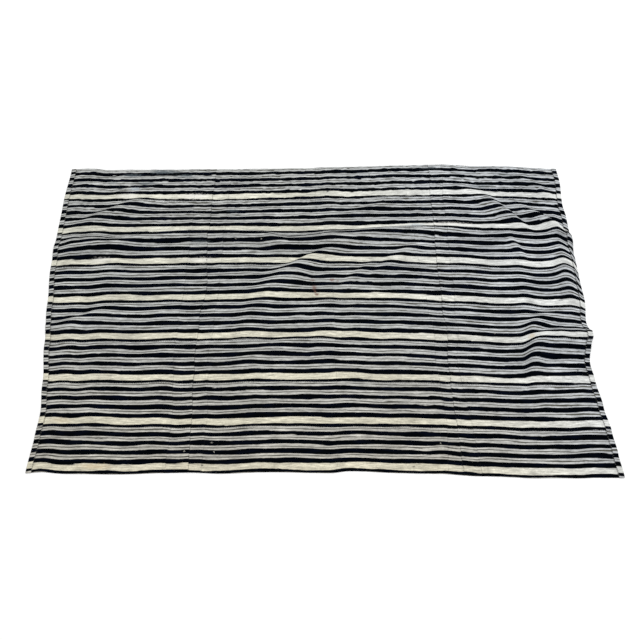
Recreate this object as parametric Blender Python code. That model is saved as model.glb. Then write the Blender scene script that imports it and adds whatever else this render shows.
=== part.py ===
"""A strip-woven indigo cloth, spread out on a flat surface.

Eight narrow hand-woven strips lie side by side, sewn edge to edge, and both short ends are
turned over onto the face as a hem. The cloth isn't smooth: a long low ridge runs across it,
shorter ridges branch off that one, and the right-hand side is rucked.

Metres, +Z up, +X along the strips, +Y towards the back edge, origin under the middle.
"""

import math
from collections import namedtuple

import bmesh
import bpy
import numpy as np

# Driving dimensions
MM = 0.001
STRIPS = 8
STRIP_WIDTH = 0.1232
CLOTH_LENGTH = 1.60
CLOTH_THICKNESS = 1.2 * MM
SEAM_GAP = 0.4 * MM
HEM_WIDTH = 15 * MM
HEM_THICKNESS = 3.0 * MM
HEM_STEP = 0.8 * MM
# Moves the cloth towards the back so that the origin is under the middle of its box
TO_MIDDLE = 3.8 * MM

# Fineness of the facets
COLUMNS = 72
ROWS = 10
CURVE_STEPS = 8
STRIP_SAMPLES = 64
FLAT_HEIGHT = 0.02 * MM
FLAT_ANGLE = math.radians(0.2)
# How near to a seam, in strips, a grid point counts as lying on it
EDGE_REACH = 0.001

# Looks of the solids
INDIGO_AND_CREAM = (0.16, 0.16, 0.15, 1.0)
CLOTH_ROUGHNESS = 0.92

# Where the short ends lie: strips counted from the back edge, and the end's X
End = namedtuple("End", "strips x")
LEFT_END = [
    End(0.0, -0.7983), End(1.0, -0.8045), End(2.0, -0.8058), End(3.0, -0.8058),
    End(4.0, -0.7950), End(5.0, -0.7820), End(6.0, -0.7670), End(6.7, -0.7575),
    End(7.2, -0.7620), End(8.0, -0.7688),
]
RIGHT_END = [
    End(0.0, 0.7718), End(0.4, 0.7756), End(1.1, 0.7713), End(1.4, 0.7762),
    End(2.0, 0.7777), End(3.0, 0.7822), End(3.7, 0.7862), End(4.3, 0.7790),
    End(4.6, 0.7850), End(4.9, 0.7812), End(5.1, 0.7742), End(5.5, 0.7688),
    End(5.9, 0.7747), End(6.5, 0.7842), End(7.0, 0.7942), End(7.5, 0.8002),
    End(8.0, 0.8058),
]

# Where the long edges lie: X along the edge, and the edge's Y
Edge = namedtuple("Edge", "x y")
BACK_EDGE = [
    Edge(-0.80, 0.475), Edge(-0.74, 0.482), Edge(-0.68, 0.473), Edge(-0.40, 0.478),
    Edge(-0.06, 0.478), Edge(0.10, 0.485), Edge(0.26, 0.491), Edge(0.42, 0.495),
    Edge(0.52, 0.487), Edge(0.65, 0.484), Edge(0.77, 0.477),
]
FRONT_EDGE = [
    Edge(-0.77, -0.489), Edge(-0.72, -0.486), Edge(-0.66, -0.489), Edge(-0.51, -0.491),
    Edge(-0.35, -0.485), Edge(-0.27, -0.489), Edge(-0.14, -0.485), Edge(0.03, -0.488),
    Edge(0.085, -0.483), Edge(0.22, -0.489), Edge(0.32, -0.491), Edge(0.43, -0.497),
    Edge(0.58, -0.500), Edge(0.80, -0.499),
]

# How far the cloth has crept towards the back edge from an even lay, in millimetres, at each
# seam (the strips counted from the back edge) and each station along the cloth
CREEP_STATIONS = (-0.79, -0.74, -0.69, -0.62, -0.45, -0.37, -0.29, -0.20, -0.04, 0.015, 0.08,
                  0.20, 0.45, 0.575, 0.625, 0.69, 0.735, 0.765, 0.79)
Creep = namedtuple("Creep", "strips at_stations")
CREEP = [
    Creep(0, (-1, -4, 0, 0, -3, -2, -2, -1, 2, 2, 1, 0, -1, 2, 2, -1, 0, 0, -2)),
    Creep(1, (-3, -6, 1, 3, -2, -2, -1, 1, 6, 6, 2, 2, 0, 3, 3, 1, 0, -1, -6)),
    Creep(2, (-6, -4, 6, 1, 3, 4, 5, 4, 6, 5, 1, 1, 1, 3, 3, 1, 7, -10, -34)),
    Creep(3, (0, -3, 2, 6, 0, 0, 2, 3, 5, 5, 4, 3, 0, -1, 0, -3, 5, -6, -28)),
    Creep(4, (-1, -6, -1, 4, 2, 0, 4, 3, 5, 8, 4, 3, -2, -4, 0, -3, -3, -6, -14)),
    Creep(5, (2, -3, -1, 5, 2, 0, 4, 4, 3, 8, 2, 1, -2, -3, 5, 2, 0, 0, 0)),
    Creep(6, (6, 0, 0, 4, 2, -4, 1, 1, 2, 3, 2, 0, 0, -1, 1, -1, 1, 1, 1)),
    Creep(7, (2, 1, -2, 2, 0, -7, -3, -2, 0, -1, -4, -2, 0, -1, -2, -3, -2, -2, -2)),
    Creep(8, (0, 0, -2, -2, -1, -3, -1, -2, -1, -1, -1, 0, 0, -2, -2, -3, -2, -2, -2)),
]

# The crest of each ridge, left to right: its X, the strips from the back edge, and in
# millimetres its height, how wide its back and front slopes are, and how far it leans back
Crest = namedtuple("Crest", "x strips height back front lean")
FOLDS = {
    "long ridge": [
        Crest(-0.83, 2.44, 3, 40, 44, 0), Crest(-0.78, 2.40, 9, 44, 52, 1),
        Crest(-0.735, 2.38, 17, 50, 56, 4), Crest(-0.675, 2.39, 19, 46, 54, 6),
        Crest(-0.61, 2.38, 18, 38, 48, 8), Crest(-0.575, 2.32, 17, 36, 46, 8),
        Crest(-0.53, 2.22, 17, 34, 46, 7), Crest(-0.47, 2.17, 19, 32, 50, 3),
        Crest(-0.40, 2.15, 19, 32, 50, 3), Crest(-0.30, 2.15, 19, 32, 50, 3),
        Crest(-0.22, 2.16, 19, 32, 50, 3), Crest(-0.18, 2.19, 18, 36, 48, 6),
        Crest(-0.15, 2.27, 19, 42, 44, 8), Crest(-0.12, 2.36, 20, 46, 42, 8),
        Crest(-0.085, 2.40, 19, 48, 40, 7), Crest(-0.025, 2.36, 19, 48, 42, 7),
        Crest(0.035, 2.30, 19, 48, 44, 8), Crest(0.10, 2.24, 18, 46, 46, 8),
        Crest(0.16, 2.16, 17, 42, 48, 8), Crest(0.225, 2.10, 15, 36, 46, 7),
        Crest(0.285, 2.06, 13, 34, 44, 6), Crest(0.345, 2.02, 11, 32, 40, 5),
        Crest(0.41, 1.98, 9, 28, 34, 3), Crest(0.47, 1.95, 6, 26, 28, 1),
        Crest(0.53, 1.92, 4, 24, 26, 0), Crest(0.60, 1.90, 0, 20, 20, 0),
    ],
    "ridge to the middle": [
        Crest(-0.23, 5.00, 0, 30, 40, 0), Crest(-0.205, 4.60, 6, 48, 60, 1),
        Crest(-0.18, 4.20, 9, 58, 70, 2), Crest(-0.146, 3.66, 12, 66, 74, 3),
        Crest(-0.115, 3.42, 14, 60, 74, 5), Crest(-0.085, 3.22, 15, 44, 70, 7),
        Crest(-0.055, 3.02, 15, 29, 62, 7), Crest(-0.024, 2.86, 12, 27, 52, 6),
        Crest(0.015, 2.69, 9, 24, 44, 5), Crest(0.08, 2.48, 4, 22, 30, 1),
    ],
    "short ridge in the middle": [
        Crest(-0.28, 5.70, 0, 24, 34, 0), Crest(-0.20, 5.50, 5, 36, 46, 1),
        Crest(-0.12, 5.18, 7, 38, 52, 2), Crest(-0.04, 4.98, 5, 32, 50, 2),
        Crest(0.06, 4.88, 0, 20, 30, 0),
    ],
    "branch right of the middle": [
        Crest(0.15, 3.55, 0, 18, 22, 0), Crest(0.18, 3.22, 4, 24, 28, 1),
        Crest(0.23, 2.88, 6, 28, 34, 2), Crest(0.28, 2.58, 6, 28, 34, 2),
        Crest(0.34, 2.40, 0, 18, 22, 0),
    ],
    "branch in the middle": [
        Crest(0.06, 3.70, 0, 16, 20, 0), Crest(0.10, 3.40, 5, 18, 28, 1),
        Crest(0.15, 3.08, 5, 18, 28, 1), Crest(0.20, 2.90, 0, 16, 20, 0),
    ],
    "upper right ridge": [
        Crest(0.43, 0.58, 0, 24, 28, 0), Crest(0.482, 0.82, 6, 34, 42, 1),
        Crest(0.507, 0.97, 9, 42, 44, 2), Crest(0.533, 1.12, 11, 38, 44, 4),
        Crest(0.558, 1.26, 12, 28, 44, 6), Crest(0.583, 1.43, 13, 21, 42, 6),
        Crest(0.609, 1.61, 12, 20, 38, 6), Crest(0.634, 1.80, 8, 20, 32, 4),
        Crest(0.665, 2.00, 0, 18, 24, 0),
    ],
    "right corner ridge": [
        Crest(0.62, 1.16, 0, 20, 22, 0), Crest(0.655, 1.38, 7, 24, 34, 3),
        Crest(0.685, 1.52, 12, 21, 34, 6), Crest(0.71, 1.69, 14, 25, 36, 6),
        Crest(0.735, 1.85, 15, 29, 38, 6), Crest(0.755, 1.95, 14, 30, 38, 6),
        Crest(0.773, 2.05, 13, 30, 36, 6), Crest(0.79, 2.14, 9, 30, 32, 3),
        Crest(0.82, 2.20, 8, 20, 24, 2),
    ],
    "roll down the right side": [
        Crest(0.765, 2.10, 0, 22, 34, 0), Crest(0.757, 2.48, 11, 26, 42, 1),
        Crest(0.755, 3.00, 14, 28, 44, 3), Crest(0.752, 3.45, 12, 28, 42, 2),
        Crest(0.755, 3.85, 6, 26, 36, 0), Crest(0.765, 4.15, 0, 22, 30, 0),
    ],
    "ruck at the right end": [
        Crest(0.59, 6.05, 0, 20, 20, 0), Crest(0.60, 5.62, 10, 22, 46, 3),
        Crest(0.615, 5.20, 19, 36, 60, 6), Crest(0.655, 4.96, 22, 56, 66, 9),
        Crest(0.74, 4.90, 23, 58, 66, 9), Crest(0.82, 4.88, 24, 58, 66, 9),
    ],
    "small ridge above the ruck": [
        Crest(0.595, 4.95, 0, 16, 24, 0), Crest(0.612, 4.70, 6, 24, 44, 2),
        Crest(0.634, 4.46, 11, 32, 48, 4), Crest(0.663, 4.30, 10, 32, 44, 4),
        Crest(0.70, 4.20, 5, 26, 30, 1), Crest(0.74, 4.15, 0, 16, 18, 0),
    ],
    "step left of the ruck": [
        Crest(0.40, 6.02, 0, 16, 20, 0), Crest(0.47, 6.00, 4, 18, 30, 1),
        Crest(0.54, 5.95, 5, 18, 30, 1), Crest(0.60, 5.92, 0, 16, 20, 0),
    ],
    "upper left ridge": [
        Crest(-0.76, 1.78, 0, 18, 24, 0), Crest(-0.72, 1.62, 7, 24, 44, 1),
        Crest(-0.67, 1.42, 10, 26, 56, 2), Crest(-0.61, 1.20, 9, 26, 54, 2),
        Crest(-0.55, 1.00, 6, 24, 40, 1), Crest(-0.48, 0.94, 0, 18, 24, 0),
    ],
    "lower left ridge": [
        Crest(-0.80, 4.62, 0, 22, 28, 0), Crest(-0.75, 4.56, 8, 28, 44, 2),
        Crest(-0.69, 4.44, 11, 28, 50, 3), Crest(-0.62, 4.20, 6, 26, 38, 1),
        Crest(-0.52, 4.02, 0, 20, 20, 0),
    ],
    "low ridge before the left corner": [
        Crest(-0.71, 6.46, 0, 18, 24, 0), Crest(-0.66, 6.60, 4, 22, 36, 1),
        Crest(-0.59, 6.76, 5, 22, 38, 1), Crest(-0.53, 6.88, 3, 20, 30, 0),
        Crest(-0.47, 6.98, 0, 16, 20, 0),
    ],
    "top right pucker": [
        Crest(0.63, 0.25, 0, 16, 18, 0), Crest(0.67, 0.42, 3, 22, 24, 1),
        Crest(0.71, 0.66, 4, 26, 26, 1), Crest(0.74, 0.95, 4, 26, 24, 1),
        Crest(0.76, 1.15, 0, 18, 18, 0),
    ],
    "pucker before the long ridge": [
        Crest(0.03, 1.62, 0, 16, 18, 0), Crest(0.11, 1.44, 4, 22, 28, 1),
        Crest(0.19, 1.24, 5, 22, 28, 1), Crest(0.27, 1.10, 0, 16, 18, 0),
    ],
    "pucker right of the long ridge": [
        Crest(0.585, 2.10, 0, 14, 16, 0), Crest(0.60, 2.35, 5, 18, 22, 2),
        Crest(0.62, 2.62, 5, 18, 22, 1), Crest(0.63, 2.85, 0, 14, 16, 0),
    ],
}
# Ridges that meet blend into one another instead of adding up; a higher power is crisper
BLEND_POWER = 3.0


def smooth_between(places, values, at):
    """Reads a table at the places asked for, level at each of its rows."""
    places = np.asarray(places)
    values = np.asarray(values)
    at = np.clip(at, places[0], places[-1])
    row = np.clip(np.searchsorted(places, at, side="right") - 1, 0, len(places) - 2)
    part = (at - places[row]) / (places[row + 1] - places[row])
    ease = part * part * (3.0 - 2.0 * part)
    return values[row] + (values[row + 1] - values[row]) * ease


def crest_line(crests):
    """Runs a smooth curve through a ridge's crest rows, each point with all its sizes."""
    rows = np.array(crests, dtype=float)
    padded = np.vstack([2 * rows[0] - rows[1], rows, 2 * rows[-1] - rows[-2]])
    steps = np.arange(CURVE_STEPS) / CURVE_STEPS
    points = []
    for before, start, end, after in zip(padded, padded[1:], padded[2:], padded[3:]):
        for t in steps:
            points.append(0.5 * (
                2 * start + (end - before) * t
                + (2 * before - 5 * start + 4 * end - after) * t ** 2
                + (3 * start - before - 3 * end + after) * t ** 3))
    points.append(rows[-1])
    return np.array(points)


def ridge_shape(crests, x, strips):
    """Gives one ridge's height and lean over the cloth, from how far each point is from its crest."""
    line = crest_line(crests)
    line_x = line[:, 0]
    line_y = -line[:, 1] * STRIP_WIDTH
    y = -strips * STRIP_WIDTH
    height = np.zeros(x.shape)
    lean = np.zeros(x.shape)
    reach = max(max(crest.back, crest.front) for crest in crests) * MM
    for k in range(len(line) - 1):
        near = np.nonzero(
            (x > min(line_x[k], line_x[k + 1]) - reach) & (x < max(line_x[k], line_x[k + 1]) + reach)
            & (y > min(line_y[k], line_y[k + 1]) - reach) & (y < max(line_y[k], line_y[k + 1]) + reach))
        run_x = line_x[k + 1] - line_x[k]
        run_y = line_y[k + 1] - line_y[k]
        along = (x[near] - line_x[k]) * run_x + (y[near] - line_y[k]) * run_y
        along = np.clip(along / (run_x ** 2 + run_y ** 2), 0.0, 1.0)
        off_x = x[near] - line_x[k] - along * run_x
        off_y = y[near] - line_y[k] - along * run_y
        crest = line[k] + (line[k + 1] - line[k]) * along[..., None]
        behind = run_x * off_y - run_y * off_x > 0
        width = np.where(behind, crest[..., 3], crest[..., 4]) * MM
        level = np.cos(np.clip(np.hypot(off_x, off_y) / width, 0.0, 1.0) * math.pi / 2) ** 2
        height[near] = np.maximum(height[near], crest[..., 2] * MM * level)
        lean[near] = np.maximum(lean[near], crest[..., 5] * MM * level)
    return height, lean


def ridges(x, strips):
    """Blends all the ridges into the cloth's height and its lean to the back."""
    height = np.zeros(x.shape)
    lean = np.zeros(x.shape)
    for crests in FOLDS.values():
        one_height, one_lean = ridge_shape(crests, x, strips)
        height += one_height ** BLEND_POWER
        lean += one_lean ** BLEND_POWER
    return height ** (1 / BLEND_POWER), lean ** (1 / BLEND_POWER)


class Lay:
    """How the cloth lies: its underside and how steep it is, column by column.

    A column runs from the back edge to the front edge at one share of the cloth's length.
    Cloth that rises over a ridge takes up less of the floor than level cloth does.
    """

    def __init__(self, stations):
        """Works out every column, with its samples evenly spaced over the flat cloth."""
        self.stations = np.asarray(stations)
        samples = np.linspace(0.0, STRIPS, STRIPS * STRIP_SAMPLES + 1)
        length, strips = np.meshgrid(self.stations, samples, indexing="ij")
        x = end_to_end(length, strips)
        height, lean = ridges(x, strips)
        rise = np.diff(height, axis=1) * STRIP_SAMPLES / STRIP_WIDTH
        floor_share = np.sqrt(np.clip(1.0 - rise ** 2, 0.04, 1.0))
        covered = np.cumsum(floor_share, axis=1)
        covered = np.hstack([np.zeros((len(self.stations), 1)), covered / covered[:, -1:]])
        back = smooth_between([e.x for e in BACK_EDGE], [e.y for e in BACK_EDGE], x[:, :1])
        front = smooth_between([e.x for e in FRONT_EDGE], [e.y for e in FRONT_EDGE], x[:, -1:])
        y = back + (front - back) * covered + creep(x, strips) + lean + TO_MIDDLE
        self.underside = np.stack([x, y, height], axis=-1)
        along = np.gradient(self.underside, axis=0)
        across = -np.gradient(self.underside, axis=1)
        normal = np.cross(along, across)
        self.steepness = np.linalg.norm(normal, axis=-1, keepdims=True) / normal[..., 2:]

    def place(self, column, strips):
        """Gives the underside and the steepness at a strip count down each column.

        Steepness is how much higher one layer stands, measured straight up, than it is thick.
        """
        at = np.clip(strips * STRIP_SAMPLES, 0, STRIPS * STRIP_SAMPLES - 1e-9)
        low = at.astype(int)
        part = (at - low)[:, None]
        return [grid[column, low] * (1 - part) + grid[column, low + 1] * part
                for grid in (self.underside, self.steepness)]


def creep(x, strips):
    """Gives how far the cloth has crept towards the back edge at each point."""
    by_seam = [smooth_between(CREEP_STATIONS, row.at_stations, x) for row in CREEP]
    seam = np.clip(strips.astype(int), 0, STRIPS - 1)
    part = strips - seam
    ease = part * part * (3.0 - 2.0 * part)
    at_seams = np.stack(by_seam)
    before = np.take_along_axis(at_seams, seam[None], axis=0)[0]
    after = np.take_along_axis(at_seams, seam[None] + 1, axis=0)[0]
    return (before + (after - before) * ease) * MM


def end_to_end(length, strips):
    """Gives the X of a point between the cloth's two short ends."""
    left = smooth_between([e.strips for e in LEFT_END], [e.x for e in LEFT_END], strips)
    right = smooth_between([e.strips for e in RIGHT_END], [e.x for e in RIGHT_END], strips)
    return left + (right - left) * length


def thickness_at(length):
    """Gives the cloth's thickness: three pressed layers in the hems, one between them."""
    to_end = np.minimum(length, 1.0 - length) * CLOTH_LENGTH
    in_hem = to_end < HEM_WIDTH + HEM_STEP / 2
    return np.where(in_hem, HEM_THICKNESS, CLOTH_THICKNESS)


def hem_cuts():
    """Gives the shares of the length at which the hems end and the single cloth starts."""
    hem = HEM_WIDTH / CLOTH_LENGTH
    step = HEM_STEP / CLOTH_LENGTH
    return [hem, hem + step, 1.0 - hem - step, 1.0 - hem]


def flat_grid(number):
    """Makes one strip's flat grid, its length along X and its strips along Y, two layers."""
    bm = bmesh.new()
    bmesh.ops.create_grid(bm, x_segments=COLUMNS, y_segments=ROWS, size=0.5)
    for vert in bm.verts:
        vert.co.x += 0.5
        vert.co.y += number - 0.5
    for cut in hem_cuts():
        geometry = bm.verts[:] + bm.edges[:] + bm.faces[:]
        bmesh.ops.bisect_plane(bm, geom=geometry, plane_co=(cut, 0, 0), plane_no=(1, 0, 0))
    top = bmesh.ops.extrude_face_region(bm, geom=bm.faces[:], use_keep_orig=True)
    for item in top["geom"]:
        if isinstance(item, bmesh.types.BMVert):
            item.co.z = 1.0
    return bm


def open_seams(rows, number, steepness):
    """Moves a strip's two long edges half a gap in from their seams.

    Where a seam climbs a ridge, its gap is wider along the cloth, so that it stays as wide
    over the floor.
    """
    gap = SEAM_GAP / 2 / STRIP_WIDTH * steepness
    at_back = (rows < number - 1 + EDGE_REACH) & (number > 1)
    at_front = (rows > number - EDGE_REACH) & (number < STRIPS)
    return np.where(at_back, rows + gap, np.where(at_front, rows - gap, rows))


def drop_flat_points(bm, bottom_height):
    """Takes away points in the middle of level cloth, which need no facets of their own."""
    level = [vert for vert, height in zip(bm.verts, bottom_height) if height < FLAT_HEIGHT]
    level_set = set(level)
    edges = [edge for edge in bm.edges
             if edge.verts[0] in level_set and edge.verts[1] in level_set
             and edge.calc_face_angle(math.pi) < FLAT_ANGLE]
    inner = [vert for vert in level
             if all(edge.calc_face_angle(math.pi) < FLAT_ANGLE for edge in vert.link_edges)]
    bmesh.ops.dissolve_limit(bm, angle_limit=FLAT_ANGLE, verts=inner, edges=edges)


def build_strip(number, lay):
    """Builds one woven strip with its two turned hems as one closed solid."""
    bm = flat_grid(number)
    flat = np.array([vert.co[:] for vert in bm.verts])
    column = np.abs(flat[:, :1] - lay.stations).argmin(axis=1)
    _, steepness = lay.place(column, flat[:, 1])
    rows = open_seams(flat[:, 1], number, steepness[:, 0])
    underside, steepness = lay.place(column, rows)
    face = underside.copy()
    face[:, 2] += thickness_at(lay.stations[column]) * steepness[:, 0]
    place = np.where(flat[:, 2:] > 0.5, face, underside)
    for vert, co in zip(bm.verts, place):
        vert.co = co
    bm.normal_update()
    drop_flat_points(bm, underside[:, 2])
    bmesh.ops.recalc_face_normals(bm, faces=bm.faces[:])
    mesh = bpy.data.meshes.new(f"strip_{number}")
    bm.to_mesh(mesh)
    bm.free()
    strip = bpy.data.objects.new(f"strip_{number}", mesh)
    bpy.context.scene.collection.objects.link(strip)
    strip.data.materials.append(woven_cotton(number))
    return strip


def woven_cotton(number):
    """Makes the strip's material: indigo and natural cotton, matt."""
    material = bpy.data.materials.new(f"woven cotton of strip {number}")
    material.use_nodes = True
    shader = material.node_tree.nodes["Principled BSDF"]
    shader.inputs["Base Color"].default_value = INDIGO_AND_CREAM
    shader.inputs["Roughness"].default_value = CLOTH_ROUGHNESS
    shader.inputs["Metallic"].default_value = 0.0
    return material


def main():
    """Empties the scene and builds the strips from the back edge to the front edge."""
    for old in list(bpy.data.objects):
        bpy.data.objects.remove(old, do_unlink=True)
    even = [column / COLUMNS for column in range(COLUMNS + 1)]
    lay = Lay(sorted(even + hem_cuts()))
    for number in range(1, STRIPS + 1):
        build_strip(number, lay)


main()
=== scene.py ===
"""A strip-woven indigo cloth spread out on a pale floor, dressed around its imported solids.

Eight hand-woven strips lie side by side, whipped together edge to edge, and both short ends are
turned twice onto the face and sewn down. Metres, +Z up, +X along the strips, +Y to the back edge.
"""

import logging
import math
from collections import namedtuple
from dataclasses import dataclass, field
from enum import Enum

import bmesh
import bpy
import numpy as np
from mathutils import Matrix, Vector


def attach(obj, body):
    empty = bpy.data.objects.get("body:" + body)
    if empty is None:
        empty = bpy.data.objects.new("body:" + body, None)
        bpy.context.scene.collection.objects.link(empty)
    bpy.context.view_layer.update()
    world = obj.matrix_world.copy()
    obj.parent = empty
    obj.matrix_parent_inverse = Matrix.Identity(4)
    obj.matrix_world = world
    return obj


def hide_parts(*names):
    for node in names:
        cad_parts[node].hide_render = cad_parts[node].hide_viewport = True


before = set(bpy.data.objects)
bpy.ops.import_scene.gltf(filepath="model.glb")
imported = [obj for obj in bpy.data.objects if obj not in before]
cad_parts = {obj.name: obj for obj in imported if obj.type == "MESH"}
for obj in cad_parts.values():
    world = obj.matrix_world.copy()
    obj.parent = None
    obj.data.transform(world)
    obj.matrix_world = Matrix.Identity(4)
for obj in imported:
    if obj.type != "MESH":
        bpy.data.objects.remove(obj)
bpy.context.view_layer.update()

log = logging.getLogger("cloth")
Socket = bpy.types.NodeSocket

MM = 0.001
STRIPS = 8
STRIP_WIDTH = 0.1232
CLOTH_LENGTH = 1.60
CLOTH_THICKNESS = 1.2 * MM
SEAM_GAP = 0.4 * MM
HEM_WIDTH = 15 * MM
HEM_TURN_UNDER = 13 * MM
# Cloth that each hem takes up: its face and the raw edge turned under it
HEM_CLOTH = HEM_WIDTH + HEM_TURN_UNDER
CUT_LENGTH = CLOTH_LENGTH + 2 * HEM_CLOTH
# How far the laid cloth is moved back, to lie about the middle
TO_MIDDLE = 3.8 * MM

# Where the short ends lie: strips counted from the back edge, and the end's X
End = namedtuple("End", "strips x")
LEFT_END = [
    End(0.0, -0.7983), End(1.0, -0.8045), End(2.0, -0.8058), End(3.0, -0.8058),
    End(4.0, -0.7950), End(5.0, -0.7820), End(6.0, -0.7670), End(6.7, -0.7575),
    End(7.2, -0.7620), End(8.0, -0.7688),
]
RIGHT_END = [
    End(0.0, 0.7718), End(0.4, 0.7756), End(1.1, 0.7713), End(1.4, 0.7762),
    End(2.0, 0.7777), End(3.0, 0.7822), End(3.7, 0.7862), End(4.3, 0.7790),
    End(4.6, 0.7850), End(4.9, 0.7812), End(5.1, 0.7742), End(5.5, 0.7688),
    End(5.9, 0.7747), End(6.5, 0.7842), End(7.0, 0.7942), End(7.5, 0.8002),
    End(8.0, 0.8058),
]

# Where the long edges lie: X along the edge, and the edge's Y
Edge = namedtuple("Edge", "x y")
BACK_EDGE = [
    Edge(-0.80, 0.475), Edge(-0.74, 0.482), Edge(-0.68, 0.473), Edge(-0.40, 0.478),
    Edge(-0.06, 0.478), Edge(0.10, 0.485), Edge(0.26, 0.491), Edge(0.42, 0.495),
    Edge(0.52, 0.487), Edge(0.65, 0.484), Edge(0.77, 0.477),
]
FRONT_EDGE = [
    Edge(-0.77, -0.489), Edge(-0.72, -0.486), Edge(-0.66, -0.489), Edge(-0.51, -0.491),
    Edge(-0.35, -0.485), Edge(-0.27, -0.489), Edge(-0.14, -0.485), Edge(0.03, -0.488),
    Edge(0.085, -0.483), Edge(0.22, -0.489), Edge(0.32, -0.491), Edge(0.43, -0.497),
    Edge(0.58, -0.500), Edge(0.80, -0.499),
]

# How far the cloth has crept towards the back edge from an even lay, in millimetres, at each
# seam (the strips counted from the back edge) and each station along the cloth
CREEP_STATIONS = (-0.79, -0.74, -0.69, -0.62, -0.45, -0.37, -0.29, -0.20, -0.04, 0.015, 0.08,
                  0.20, 0.45, 0.575, 0.625, 0.69, 0.735, 0.765, 0.79)
Creep = namedtuple("Creep", "strips at_stations")
CREEP = [
    Creep(0, (-1, -4, 0, 0, -3, -2, -2, -1, 2, 2, 1, 0, -1, 2, 2, -1, 0, 0, -2)),
    Creep(1, (-3, -6, 1, 3, -2, -2, -1, 1, 6, 6, 2, 2, 0, 3, 3, 1, 0, -1, -6)),
    Creep(2, (-6, -4, 6, 1, 3, 4, 5, 4, 6, 5, 1, 1, 1, 3, 3, 1, 7, -10, -34)),
    Creep(3, (0, -3, 2, 6, 0, 0, 2, 3, 5, 5, 4, 3, 0, -1, 0, -3, 5, -6, -28)),
    Creep(4, (-1, -6, -1, 4, 2, 0, 4, 3, 5, 8, 4, 3, -2, -4, 0, -3, -3, -6, -14)),
    Creep(5, (2, -3, -1, 5, 2, 0, 4, 4, 3, 8, 2, 1, -2, -3, 5, 2, 0, 0, 0)),
    Creep(6, (6, 0, 0, 4, 2, -4, 1, 1, 2, 3, 2, 0, 0, -1, 1, -1, 1, 1, 1)),
    Creep(7, (2, 1, -2, 2, 0, -7, -3, -2, 0, -1, -4, -2, 0, -1, -2, -3, -2, -2, -2)),
    Creep(8, (0, 0, -2, -2, -1, -3, -1, -2, -1, -1, -1, 0, 0, -2, -2, -3, -2, -2, -2)),
]

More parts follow.
